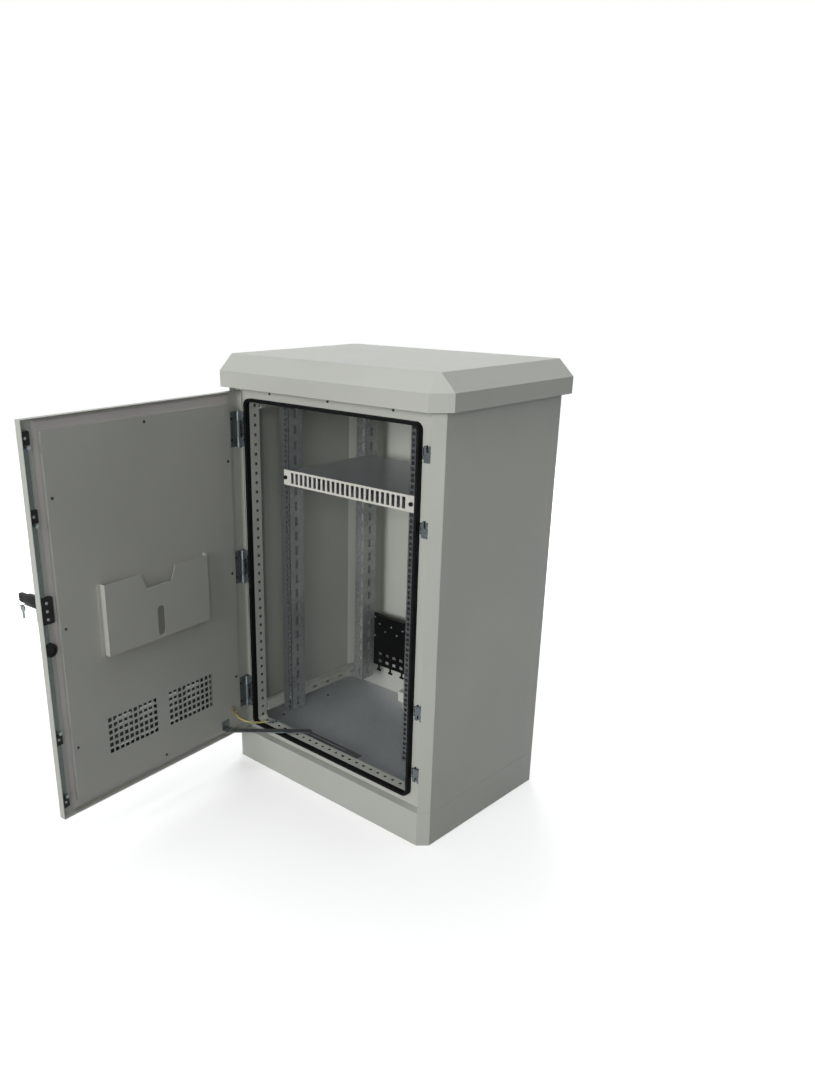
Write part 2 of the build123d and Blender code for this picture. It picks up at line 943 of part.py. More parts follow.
def stay_slider():
    head = plan_slab(Circle(stay_slider_head / 2), opening_bottom, stay_slider_head_height)
    foot_top = opening_bottom - stay_track_sheet
    foot_bottom = foot_top - stay_slider_head_height
    foot = plan_slab(Circle(stay_slider_head / 2), foot_bottom, stay_slider_head_height)
    shank = plan_slab(Circle(stay_slider_shank / 2), foot_top, stay_track_sheet)
    return Pos(stay_rest_x, stay_slot_y) * (head + shank + foot)


def stay_pivot():
    """Place of the stay's pivot on the open door."""
    return opened(Pos(stay_pivot_x, stay_pivot_y, 0)).position


def stay_arm():
    """Flat bar from the pivot on the door to above the slider, with the pivot pin on top."""
    pivot = stay_pivot()
    run = Vector(stay_rest_x, stay_slot_y) - pivot
    bar = plan_slab(SlotCenterToCenter(run.length, stay_arm_width), arm_bottom, stay_arm_thickness)
    pin_height = running_gap + stay_bracket_sheet + stay_pin_end
    pin = plan_slab(Pos(-run.length / 2, 0) * Circle(stay_pin / 2), arm_top, pin_height)
    turned = Rot(0, 0, Vector(1, 0, 0).get_signed_angle(run, Vector(0, 0, 1)))
    middle = pivot + run / 2
    return Pos(middle.X, middle.Y) * turned * (bar + pin)


def stay_bracket():
    half = stay_bracket_width / 2
    span = (stay_pivot_x - half, stay_pivot_x + half)
    shelf = span_box(
        span,
        (liner_face, liner_face + stay_bracket_reach),
        (bracket_bottom, bracket_bottom + stay_bracket_sheet),
    )
    back = span_box(
        span,
        (liner_face, liner_face + stay_bracket_sheet),
        (bracket_bottom, bracket_bottom + stay_bracket_height),
    )
    eye = plan_slab(
        Pos(stay_pivot_x, stay_pivot_y) * Circle(stay_pin / 2 + running_gap),
        bracket_bottom - overrun,
        stay_bracket_sheet + 2 * overrun,
    )
    return shelf + back - eye


# Equipment inside

def depth_bar(side, bottom):
    """Channel from the frame to the rear wall, with slots in its inner web."""
    top = bottom + bar_height
    outer_x = bar_inner_x + bar_width
    y_span = (jamb_back, rear_inside)
    profile = span_box((bar_inner_x, outer_x), y_span, (bottom, top)) - span_box(
        (bar_inner_x + bar_sheet, outer_x + overrun),
        (jamb_back - overrun, rear_inside + overrun),
        (bottom + bar_sheet, top - bar_sheet),
    )
    middle_y = sum(y_span) / 2
    slots = [
        Pos(bar_inner_x, middle_y + y, bottom + bar_height / 2)
        * Box(2 * (bar_sheet + overrun), bar_slot_length, bar_slot_height)
        for y in centred(bar_slots, bar_slot_pitch)
    ]
    bar = profile - slots
    return bar if side > 0 else mirror(bar, about=Plane.YZ)


def rack_rail(side, face_y, openings):
    """Folded rail with a front and a rear flange, and a tab to the depth bar at each end."""
    z_span = (rail_bottom, rail_top)
    back_y = face_y + rail_web
    flange_end = rack_half_aperture + rail_flange
    front_flange = span_box((rack_half_aperture, flange_end), (face_y, face_y + rail_sheet), z_span)
    web = span_box((rack_half_aperture, rack_half_aperture + rail_sheet), (face_y, back_y), z_span)
    rear_flange = span_box((rack_half_aperture, flange_end), (back_y - rail_sheet, back_y), z_span)
    tab_spans = ((rail_bottom, lower_bar_bottom + bar_height), (upper_bar_bottom, rail_top))
    tabs = [
        span_box((rack_half_aperture, bar_inner_x), (back_y - rail_sheet, back_y), span) for span in tab_spans
    ]
    feet = [
        span_box((bar_inner_x - rail_sheet, bar_inner_x), (back_y - rail_tab_foot, back_y), span)
        for span in tab_spans
    ]
    cuts = [front_slab(opening, face_y - overrun, rail_sheet + 2 * overrun) for opening in openings]
    web_slot = Rectangle(web_slot_width, web_slot_height)
    cuts += [
        side_slab(
            Pos(face_y + rail_web / 2, height) * web_slot,
            rack_half_aperture - overrun,
            rail_sheet + 2 * overrun,
        )
        for height in unit_middles()
    ]
    rail = front_flange + web + rear_flange + tabs + feet - cuts
    return rail if side > 0 else mirror(rail, about=Plane.YZ)


def unit_middles():
    """Middle height of every rack unit."""
    return [rack_base_height + (unit + 1 / 2) * rack_unit_height for unit in range(rack_units)]


def unit_holes():
    """Three square holes to every rack unit."""
    return [
        Pos(rack_hole_half_spacing, height + z) * Rectangle(rack_hole, rack_hole)
        for height in unit_middles()
        for z in centred(3, rack_hole_pitch)
    ]


def unit_slots():
    """One tall hole to every rack unit."""
    slot = Rectangle(rack_hole, rack_slot_height)
    return [Pos(rack_hole_half_spacing, height) * slot for height in unit_middles()]


def patch_panel():
    outline = Pos(0, panel_middle) * Rectangle(panel_width, panel_height)
    openings = [
        Pos(x, panel_middle) * Rectangle(panel_opening_width, panel_opening_height)
        for x in centred(panel_openings, panel_opening_pitch)
    ]
    return front_slab(outline - openings, front_rail_y - panel_sheet, panel_sheet)


def panel_screws():
    face = front_rail_y - panel_sheet
    return [
        standing((x, face, panel_middle), (0, -1, 0), panel_screw_head, panel_screw_height)
        for x in (-rack_hole_half_spacing, rack_hole_half_spacing)
    ]


def patch_tray():
    outline = Pos(0, panel_middle) * Rectangle(2 * tray_half_width, tray_height)
    inside_width = 2 * (tray_half_width - tray_sheet)
    inside = Pos(0, panel_middle) * Rectangle(inside_width, tray_height - 2 * tray_sheet)
    depth = rear_rail_y + tray_rear_reach - front_rail_y
    box = front_slab(outline, front_rail_y, depth)
    return box - front_slab(inside, front_rail_y - overrun, depth + overrun - tray_sheet)


def cable_anchor_panel():
    """Upright panel with two rows of windows, T shaped lugs below and its top edge folded back."""
    middle = anchor_panel_bottom + anchor_panel_height / 2
    outline = Pos(0, middle) * Rectangle(panel_width, anchor_panel_height)
    windows = [
        Pos(x, anchor_panel_bottom + window_row_rise + row * window_row_pitch)
        * Rectangle(window_width, window_height)
        for row in range(window_rows)
        for x in centred(window_columns, window_pitch)
    ]
    lug_foot = anchor_panel_bottom - lug_length
    stems = [
        Pos(x, anchor_panel_bottom - lug_length / 2) * Rectangle(lug_stem_width, lug_length)
        for x in centred(lug_columns, lug_pitch)
    ]
    heads = [
        Pos(x, lug_foot + lug_head_height / 2) * Rectangle(lug_head_width, lug_head_height)
        for x in centred(lug_columns, lug_pitch)
    ]
    face = front_slab(outline - windows + stems + heads, anchor_panel_front, anchor_panel_sheet)
    fold = span_box(
        (-panel_width / 2, panel_width / 2),
        (anchor_panel_front, anchor_panel_front + anchor_panel_fold),
        (anchor_panel_top - anchor_panel_sheet, anchor_panel_top),
    )
    return face + fold


def terminal_block():
    block = span_box(
        (block_x - block_width / 2, block_x + block_width / 2),
        (block_y - block_depth / 2, block_y + block_depth / 2),
        (floor_top, floor_top + block_height),
    )
    slots = [
        Pos(block_x + x, block_y, floor_top + block_height)
        * Box(block_slot, block_depth / 2, 2 * block_slot_depth)
        for x in centred(block_slots, 2 * block_slot)
    ]
    return block - slots


# Screws

def body_screws():
    floor = [
        (x, floor_screw_middle + y, floor_top)
        for x in centred(2, body_width - 2 * floor_screw_inset)
        for y in centred(2, floor_screw_pitch)
    ]
    head = [(x, frame_face, opening_top + frame_screw_rise) for x in centred(3, frame_screw_spacing)]
    keeper_screw_x = keeper_web_x - keeper_sheet / 2 - keeper_foot_width / 2
    keeper_middles = [height + keeper_middle_rise for height in upper_keeper_heights]
    keeper_middles += [height - keeper_middle_rise for height in lower_keeper_heights]
    keeper_spots = [
        (keeper_screw_x, frame_face - keeper_sheet, middle + z)
        for middle in keeper_middles
        for z in centred(2, keeper_screw_spacing)
    ]
    leaf_spots = [
        (hinge_x + frame_leaf_screw_reach, frame_face - hinge_plate, height + z)
        for height in hinge_heights
        for z in centred(2, hinge_screw_spacing)
    ]
    return screw_heads(floor, (0, 0, 1)) + screw_heads(head + keeper_spots + leaf_spots, (0, -1, 0))


def door_screws():
    liner = [
        (x, liner_face, liner_middle + z)
        for x in centred(2, 2 * (liner_half_width - liner_screw_inset))
        for z in centred(3, liner_screw_pitch)
    ]
    end_heights = (liner_top - liner_screw_inset, liner_bottom + liner_screw_inset)
    liner += [(0, liner_face, z) for z in end_heights]
    leaf = [
        (hinge_x + door_leaf_screw_reach, channel_floor + hinge_plate, height + z)
        for height in hinge_heights
        for z in centred(2, hinge_screw_spacing)
    ]
    gearbox = [
        (gearbox_x, gearbox_face, gearbox_middle + z)
        for z in centred(3, (gearbox_top - gearbox_bottom) / 2 - gearbox_screw_inset)
    ]
    return screw_heads(liner + leaf + gearbox, (0, 1, 0))


# Earth connection

def earth_stud(foot, outward):
    """Stud with a hexagon nut that holds the lug down."""
    place = Plane(origin=foot, z_dir=outward)
    stud = plan_slab(Circle(stud_diameter / 2), 0, stud_length)
    nut = plan_slab(RegularPolygon(nut_width / 2, 6), earth_lug_sheet, nut_height)
    return place * (stud + nut)


def earth_lug(foot, outward, along):
    """Ring lug flat on a face, with a round barrel that points along the wire."""
    place = Plane(origin=foot, x_dir=along, z_dir=outward)
    ring = Circle(earth_lug_diameter / 2)
    tongue = Pos(barrel_reach / 2, 0) * Rectangle(barrel_reach, barrel_diameter)
    flat = plan_slab(ring + tongue - Circle(stud_diameter / 2 + running_gap), 0, earth_lug_sheet)
    barrel = Pos(barrel_reach, 0, barrel_diameter / 2) * Rot(0, 90, 0) * Cylinder(
        barrel_diameter / 2, barrel_length, align=(Align.CENTER, Align.CENTER, Align.MIN)
    )
    return place * (flat + barrel)


def earth_ends():
    """Foot, outward and wire directions of the lug on the closed door and of the one on the sill."""
    down = Vector(0, 0, -1).rotate(Axis.Y, earth_door_tilt)
    forward = Vector(0, -1, 0).rotate(Axis.Z, -earth_frame_tilt)
    door_foot = Vector(hinge_x + earth_door_reach, liner_face, liner_bottom + earth_door_rise)
    frame_foot = Vector(hinge_x + earth_frame_reach, frame_face + earth_frame_setback, opening_bottom)
    on_door = (door_foot, Vector(0, 1, 0), down)
    on_frame = (frame_foot, Vector(0, 0, 1), forward)
    return on_door, on_frame


def barrel_mouth(foot, outward, along):
    """Middle of the barrel's open end and the first corner of the wire beyond it."""
    mouth = foot + along * (barrel_reach + barrel_length) + outward * (barrel_diameter / 2)
    return [mouth, mouth + along * wire_lead]


def earth_wire():
    """Wire along straight runs joined by tangent arcs, each as large as its runs allow."""
    on_door, on_frame = earth_ends()
    start = [opened(Pos(*point)).position for point in barrel_mouth(*on_door)]
    end = reversed(barrel_mouth(*on_frame))
    points = [*start, *(Vector(point) for point in wire_route), *end]
    radii = []
    for before, corner, after in zip(points, points[1:], points[2:]):
        arrive = corner - before
        leave = after - corner
        reach = wire_fill_share * min(arrive.length, leave.length)
        radii.append(reach / tan(radians(arrive.get_angle(leave) / 2)))
    path = FilletPolyline(*points, radius=radii)
    print("earth wire length", round(path.length, 1), "radii", [round(radius, 1) for radius in radii])
    return sweep(Plane(origin=path @ 0, z_dir=path % 0) * Circle(wire_diameter / 2), path=path)


# All pieces by name

def numbered(name, shapes):
    """Names for the copies of a repeated piece."""
    return {f"{name}_{index}": shape for index, shape in enumerate(shapes, 1)}


def cabinet_pieces():
    on_frame = earth_ends()[1]
    pieces = {
        "plinth": plinth(),
        "body_shell": body_shell(),
        "top_panel": top_panel(),
        "floor_plate": floor_plate(),
        "roof_cap": roof_cap(),
        "roof_spacers": roof_spacers(),
        "front_frame": front_frame(),
        "door_seal": door_seal(),
        "hinge_pins": hinge_pins(),
        "patch_panel": patch_panel(),
        "panel_screws": panel_screws(),
        "patch_tray": patch_tray(),
        "cable_anchor_panel": cable_anchor_panel(),
        "terminal_block": terminal_block(),
        "body_screws": body_screws(),
        "stay_track": stay_track(),
        "stay_slider": stay_slider(),
        "stay_arm": stay_arm(),
        "earth_stud_frame": earth_stud(*on_frame[:2]),
        "earth_lug_frame": earth_lug(*on_frame),
        "earth_wire": earth_wire(),
    }
    pieces.update(numbered("keeper", keepers()))
    pieces.update(numbered("hinge_frame_leaf", [hinge_frame_leaf(height) for height in hinge_heights]))
    for side, word in ((-1, "left"), (1, "right")):
        pieces[f"depth_bar_lower_{word}"] = depth_bar(side, lower_bar_bottom)
        pieces[f"depth_bar_upper_{word}"] = depth_bar(side, upper_bar_bottom)
        pieces[f"rack_rail_front_{word}"] = rack_rail(side, front_rail_y, unit_holes())
        pieces[f"rack_rail_rear_{word}"] = rack_rail(side, rear_rail_y, unit_slots())
    return pieces


def door_pieces():
    on_door = earth_ends()[0]
    pieces = {
        "door_skin": door_skin(),
        "door_liner": door_liner(),
        "door_seal_frame": door_seal_frame(),
        "door_screws": door_screws(),
        "document_pocket": document_pocket(),
        "lock_gearbox": lock_gearbox(),
        "lock_plug": lock_plug(),
        "rod_guides": rod_guides(),
        "rod_upper": rod(spindle_height + upper_rod_rise, door_top - rod_end_inset),
        "rod_lower": rod(door_bottom + rod_end_inset, spindle_height - lower_rod_drop),
        "upper_lock_pins": lock_pins(upper_pin_heights),
        "lower_lock_pins": lock_pins(lower_pin_heights),
        "escutcheon": escutcheon(),
        "handle_lever": handle_lever(),
        "key": key(),
        "key_ring": key_ring(),
        "spare_key": spare_key(),
        "stay_bracket": stay_bracket(),
        "earth_stud_door": earth_stud(*on_door[:2]),
        "earth_lug_door": earth_lug(*on_door),
    }
    pieces.update(numbered("hinge_door_leaf", [hinge_door_leaf(height) for height in hinge_heights]))
    return pieces


def as_one(shapes):
    """Single shape, or the separate solids of a group of like pieces."""
    return Compound(shapes) if isinstance(shapes, list) else shapes


os.makedirs("parts", exist_ok=True)
for name, shapes in cabinet_pieces().items():
    export_step(as_one(shapes), f"parts/{name}.step")
for name, shapes in door_pieces().items():
    export_step(opened(as_one(shapes)), f"parts/{name}.step")
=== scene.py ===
"""Roadside utility cabinet with its door open: materials, fine detail, light and camera."""
import json
import math

import bmesh
import bpy
import numpy as np
from mathutils import Matrix, Vector


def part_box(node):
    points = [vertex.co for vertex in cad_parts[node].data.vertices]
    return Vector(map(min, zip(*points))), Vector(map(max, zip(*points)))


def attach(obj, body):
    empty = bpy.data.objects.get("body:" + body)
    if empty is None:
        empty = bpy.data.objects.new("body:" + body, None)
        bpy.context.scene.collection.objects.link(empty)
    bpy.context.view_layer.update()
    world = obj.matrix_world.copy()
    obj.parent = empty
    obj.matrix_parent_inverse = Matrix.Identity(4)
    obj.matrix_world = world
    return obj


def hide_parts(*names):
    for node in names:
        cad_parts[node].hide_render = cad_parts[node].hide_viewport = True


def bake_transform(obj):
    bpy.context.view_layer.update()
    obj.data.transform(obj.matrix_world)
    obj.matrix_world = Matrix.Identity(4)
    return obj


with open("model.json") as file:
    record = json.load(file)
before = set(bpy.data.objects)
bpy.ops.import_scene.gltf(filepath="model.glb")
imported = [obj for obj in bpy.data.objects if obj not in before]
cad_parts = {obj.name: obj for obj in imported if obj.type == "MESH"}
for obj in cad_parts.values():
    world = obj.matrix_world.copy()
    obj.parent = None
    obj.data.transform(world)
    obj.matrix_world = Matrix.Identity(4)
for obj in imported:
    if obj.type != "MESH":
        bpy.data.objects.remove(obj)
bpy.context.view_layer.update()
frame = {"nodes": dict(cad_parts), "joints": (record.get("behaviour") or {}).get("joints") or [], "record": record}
nodes = frame["nodes"]
scene = bpy.context.scene

door_swing = next(joint for joint in frame["joints"] if joint["name"] == "door_swing")
OPEN_ANGLE = math.radians(door_swing["range_deg"][1])
DOOR_INWARD = Vector((math.sin(OPEN_ANGLE), math.cos(OPEN_ANGLE), 0))
FORWARD = Vector((0, -1, 0))
UPWARD = Vector((0, 0, 1))


# Places in metres where the painted shade on some pieces begins and ends

INSET = 0.0004
FRAME_SHEET = 0.002
SEAL_TO_OPENING = 0.008
HEAD_DEPTH = 0.030
FRAME_LOW, FRAME_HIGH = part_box("front_frame")
SEAL_LOW, SEAL_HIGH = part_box("door_seal")
SHELL_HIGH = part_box("body_shell")[1]
FLOOR_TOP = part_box("floor_plate")[1][2]
FACE_REAR = FRAME_LOW[1] + FRAME_SHEET
FLANGE_SIDE = SEAL_HIGH[0] - SEAL_TO_OPENING + INSET
FLANGE_BOTTOM = SEAL_LOW[2] + SEAL_TO_OPENING - INSET
FLANGE_TOP = SEAL_HIGH[2] - SEAL_TO_OPENING + INSET
FLANGE_DEPTHS = (FACE_REAR + INSET, FRAME_HIGH[1] - INSET)
SHELL_SIDES = (FRAME_HIGH[0] + INSET, SHELL_HIGH[0] - INSET)
SHELL_HEIGHTS = (FLOOR_TOP + INSET, FRAME_HIGH[2] - HEAD_DEPTH)
SHELL_FADE = (-0.165, -0.125)
FLOOR_FADE = (-0.190, -0.168)
KEEPER_FADE = (-0.2564, -0.2480)
RAIL_FADE = (-0.1725, -0.1715)
VENT_DEPTH = -0.3768
VENT_RUN = (-0.80, -0.40)
VENT_HEIGHTS = (0.19, 0.39)


# Node helpers

COLOUR_MIX_INPUTS = (0, 6, 7)
COLOUR_MIX_OUTPUT = 2
SEEN_RAYS = ("Is Camera Ray", "Is Glossy Ray", "Is Transmission Ray")


def srgb(red, green, blue):
    """Linear colour of an sRGB colour written from 0 to 255."""
    def linear(value):
        share = value / 255
        return share / 12.92 if share <= 0.04045 else ((share + 0.055) / 1.055) ** 2.4
    return linear(red), linear(green), linear(blue), 1


class NodeTree:
    """Shorthands for the nodes of a material or of the world."""

    def __init__(self, tree):
        self.tree = tree

    def node(self, kind, **settings):
        """A new node with its settings."""
        made = self.tree.nodes.new(kind)
        for key, value in settings.items():
            setattr(made, key, value)
        return made

    def feed(self, target, value):
        """Links an output to an input, or sets the input to a plain value."""
        if isinstance(value, bpy.types.NodeSocket):
            self.tree.links.new(value, target)
        else:
            target.default_value = value

    def calculate(self, operation, first, second=0.0):
        """Result of a sum, product or comparison."""
        node = self.node("ShaderNodeMath", operation=operation)
        self.feed(node.inputs[0], first)
        self.feed(node.inputs[1], second)
        return node.outputs[0]

    def between(self, value, low, high, start=0.0, end=1.0):
        """Value from low to high as the input goes from start to end."""
        span = self.node("ShaderNodeMapRange")
        span.inputs["From Min"].default_value = start
        span.inputs["From Max"].default_value = end
        span.inputs["To Min"].default_value = low
        span.inputs["To Max"].default_value = high
        self.feed(span.inputs["Value"], value)
        return span.outputs["Result"]

    def mixed(self, factor, first, second):
        """Colour between two colours."""
        mix = self.node("ShaderNodeMix", data_type="RGBA")
        for index, value in zip(COLOUR_MIX_INPUTS, (factor, first, second)):
            self.feed(mix.inputs[index], value)
        return mix.outputs[COLOUR_MIX_OUTPUT]

    def seen_directly(self):
        """One where a camera, glossy or transmission ray looks, zero for the light that falls on things."""
        path = self.node("ShaderNodeLightPath")
        total = path.outputs[SEEN_RAYS[0]]
        for kind in SEEN_RAYS[1:]:
            total = self.calculate("MAXIMUM", total, path.outputs[kind])
        return total


class Surface(NodeTree):
    """A material with its shader, and shorthands for the textures that drive it."""

    def __init__(self, name):
        self.material = bpy.data.materials.new(name)
        self.material.use_nodes = True
        super().__init__(self.material.node_tree)
        self.shader = self.tree.nodes["Principled BSDF"]
        self.place = self.node("ShaderNodeTexCoord").outputs["Object"]

    def stretched(self, x, y, z):
        """The place with its axes scaled."""
        mapping = self.node("ShaderNodeMapping")
        mapping.inputs["Scale"].default_value = (x, y, z)
        self.feed(mapping.inputs["Vector"], self.place)
        return mapping.outputs["Vector"]

    def noise(self, scale, detail=2, roughness=0.5, place=None):
        """Soft random clouds."""
        noise = self.node("ShaderNodeTexNoise")
        noise.inputs["Scale"].default_value = scale
        noise.inputs["Detail"].default_value = detail
        noise.inputs["Roughness"].default_value = roughness
        self.feed(noise.inputs["Vector"], place or self.place)
        return noise.outputs["Fac"]

    def cells(self, scale, feature="F1", output="Distance"):
        """Random cells, as pebbles or crystals."""
        cells = self.node("ShaderNodeTexVoronoi", feature=feature)
        cells.inputs["Scale"].default_value = scale
        self.feed(cells.inputs["Vector"], self.place)
        return cells.outputs[output]

    def ramp(self, value, *stops):
        """Colour that runs through stops, each a position and a colour."""
        ramp = self.node("ShaderNodeValToRGB")
        points = ramp.color_ramp.elements
        while len(points) < len(stops):
            points.new(0.5)
        for point, (position, colour) in zip(points, stops):
            point.position = position
            point.color = colour
        self.feed(ramp.inputs["Fac"], value)
        return ramp.outputs["Color"]

    def along(self, axis):
        """One coordinate of the place."""
        parts = self.node("ShaderNodeSeparateXYZ")
        self.feed(parts.inputs["Vector"], self.place)
        return parts.outputs[axis]

    def aside(self):
        """Distance from the middle of the cabinet, to the left or right."""
        return self.calculate("ABSOLUTE", self.along("X"))

    def within(self, share, value, limits):
        """The share where a value lies between its limits, and zero elsewhere."""
        low, high = limits
        share = self.calculate("MULTIPLY", share, self.calculate("GREATER_THAN", value, low))
        return self.calculate("MULTIPLY", share, self.calculate("LESS_THAN", value, high))

    def bump(self, height, distance, strength):
        """Normal of a skin with that height."""
        bump = self.node("ShaderNodeBump")
        bump.inputs["Strength"].default_value = strength
        bump.inputs["Distance"].default_value = distance
        self.feed(bump.inputs["Height"], height)
        return bump.outputs["Normal"]

    def finish(self, colour, roughness, normal, **constants):
        """The material, once its shader has all its inputs."""
        self.feed(self.shader.inputs["Base Color"], colour)
        self.feed(self.shader.inputs["Roughness"], roughness)
        self.feed(self.shader.inputs["Normal"], normal)
        for key, value in constants.items():
            self.shader.inputs[key.replace("_", " ")].default_value = value
        return self.material


# Painted shade that belongs to a place on a piece, standing for the dark of closed hollows and shaded faces

def shade_behind_face(surface, fade):
    """Share of the painted shade behind the front frame's face, fading out towards the rear."""
    depth = surface.along("Y")
    return surface.within(surface.between(depth, 1.0, 0.0, *fade), depth, (FACE_REAR - INSET, fade[1]))


def shell_painted_shade(surface, base):
    """Paints shade on the side walls in the closed space beside the punched flange."""
    share = surface.within(shade_behind_face(surface, SHELL_FADE), surface.aside(), SHELL_SIDES)
    share = surface.within(share, surface.along("Z"), SHELL_HEIGHTS)
    # Near black painted shade for the unlit hollow
    return surface.mixed(share, base, srgb(34, 34, 33))


def floor_painted_shade(surface, base):
    """Paints shade on the floor's front edge under the punched flange."""
    return surface.mixed(shade_behind_face(surface, FLOOR_FADE), base, srgb(34, 34, 33))


def flange_painted_shade(surface, base):
    """Paints shade into the holes of the frame's flange and onto its faces in the closed space behind them."""
    height = surface.along("Z")
    beside = surface.calculate("GREATER_THAN", surface.aside(), FLANGE_SIDE)
    beside = surface.calculate("MAXIMUM", beside, surface.calculate("LESS_THAN", height, FLANGE_BOTTOM))
    beside = surface.calculate("MAXIMUM", beside, surface.calculate("GREATER_THAN", height, FLANGE_TOP))
    # Near black painted shade for the unlit space behind the flange
    return surface.mixed(surface.within(beside, surface.along("Y"), FLANGE_DEPTHS), base, srgb(20, 20, 20))


def vent_painted_shade(surface, base):
    """Paints shade on the inner face of the door skin in the closed space behind the perforated liner."""
    depth = surface.node("ShaderNodeVectorMath", operation="DOT_PRODUCT")
    surface.feed(depth.inputs[0], surface.place)
    surface.feed(depth.inputs[1], DOOR_INWARD)
    share = surface.calculate("GREATER_THAN", depth.outputs["Value"], VENT_DEPTH)
    share = surface.within(share, surface.along("Y"), VENT_RUN)
    share = surface.within(share, surface.along("Z"), VENT_HEIGHTS)
    return surface.mixed(share, base, srgb(38, 39, 40))


def keeper_painted_shade(surface, base):
    """Paints shade on a keeper, darker towards the face that it stands on."""
    return surface.mixed(surface.between(surface.along("Y"), 0.0, 0.9, *KEEPER_FADE), base, srgb(36, 40, 42))


def rail_flange_painted_shade(surface, base):
    """Paints shade on the front flange of a rail."""
    return surface.mixed(surface.between(surface.along("Y"), 0.85, 0.0, *RAIL_FADE), base, srgb(72, 75, 77))


# Kinds of finish

def powder_coat(name, colour, darker, grain=430, depth=0.00022, specular=0.5, painted_shade=None):
    """Textured powder coat: a fine pebbled skin, faint cloudiness and slightly uneven gloss."""
    surface = Surface(name)
    cloud = surface.noise(scale=2.2, detail=4, roughness=0.55)
    fleck = surface.noise(scale=900, roughness=0.6)
    base = surface.ramp(cloud, (0.30, darker), (0.70, colour))
    base = surface.mixed(surface.between(fleck, low=0.0, high=0.10, start=0.45, end=0.75), base, darker)
    # Where given, painted shade darkens the base colour in its place
    if painted_shade:
        base = painted_shade(surface, base)
    pebble = surface.cells(grain, feature="SMOOTH_F1")
    skin = surface.calculate("SUBTRACT", surface.noise(scale=grain * 0.8, detail=3, roughness=0.6), pebble)
    normal = surface.bump(skin, depth, strength=0.8)
    gloss = surface.between(surface.noise(scale=grain * 0.5), low=0.36, high=0.50, start=0.3, end=0.7)
    return surface.finish(base, gloss, normal, Specular_IOR_Level=specular)


def zinc_plate(name, colour, darker, spangle, shine, metal, zinc_painted_shade=None):
    """Zinc coated steel: faint crystals, soft clouds and rolling marks."""
    surface = Surface(name)
    crystal = surface.node("ShaderNodeSeparateColor")
    surface.feed(crystal.inputs["Color"], surface.cells(spangle, output="Color"))
    glint = surface.calculate("MULTIPLY", crystal.outputs["Red"], 0.25)
    patch = surface.calculate("ADD", surface.noise(scale=5, detail=3), glint)
    base = surface.ramp(patch, (0.35, darker), (0.90, colour))
    # Where given, painted shade darkens the base colour in its place
    if zinc_painted_shade:
        base = zinc_painted_shade(surface, base)
    gloss = surface.between(crystal.outputs["Green"], *shine)
    marks = surface.noise(scale=60, detail=3, roughness=0.6, place=surface.stretched(1, 1, 14))
    skin = surface.calculate("ADD", marks, surface.noise(scale=700))
    normal = surface.bump(skin, distance=0.00005, strength=0.5)
    return surface.finish(base, gloss, normal, Metallic=metal)


def moulded(name, colour, paler, grain=1400, depth=0.00005, shine=(0.42, 0.58), specular=0.35):
    """Moulded plastic or rubber with a fine spark grain and dust on it."""
    surface = Surface(name)
    dust = surface.noise(scale=25, detail=5, roughness=0.65)
    base = surface.ramp(dust, (0.42, colour), (0.80, paler))
    gloss = surface.between(surface.noise(scale=40, detail=3), *shine, start=0.3, end=0.7)
    normal = surface.bump(surface.noise(scale=grain, detail=3, roughness=0.6), depth, strength=0.7)
    return surface.finish(base, gloss, normal, Specular_IOR_Level=specular)


def striped_sheath(name, yellow, green):
    """Yellow wire sheath with one green stripe that winds slowly round it."""
    surface = Surface(name)
    parts = surface.node("ShaderNodeSeparateXYZ")
    surface.feed(parts.inputs["Vector"], surface.node("ShaderNodeTexCoord").outputs["UV"])
    winding = surface.calculate("MULTIPLY", parts.outputs["X"], 0.6)
    stripe = surface.calculate("MODULO", surface.calculate("ADD", parts.outputs["Y"], winding), 1.0)
    dust = surface.noise(scale=180, detail=3)
    colour = surface.ramp(stripe, (0.0, yellow), (0.78, yellow), (0.82, green), (0.96, green), (1.0, yellow))
    grime = surface.between(dust, low=0.0, high=0.25, start=0.4, end=0.8)
    colour = surface.mixed(grime, colour, srgb(120, 112, 84))
    gloss = surface.between(dust, low=0.38, high=0.55)
    normal = surface.bump(surface.noise(scale=900), distance=0.00005, strength=0.5)
    return surface.finish(colour, gloss, normal)


# Materials of the record's slots, and of the nodes that differ from their slot

LIGHT_PAINT = (srgb(198, 200, 192), srgb(190, 192, 184))
FINE_GRAIN = 700
FINE_SPANGLE = 240
RAIL_SPANGLE = 190
SHEET_SPANGLE = 160
RAIL_SHINE = (0.30, 0.42)

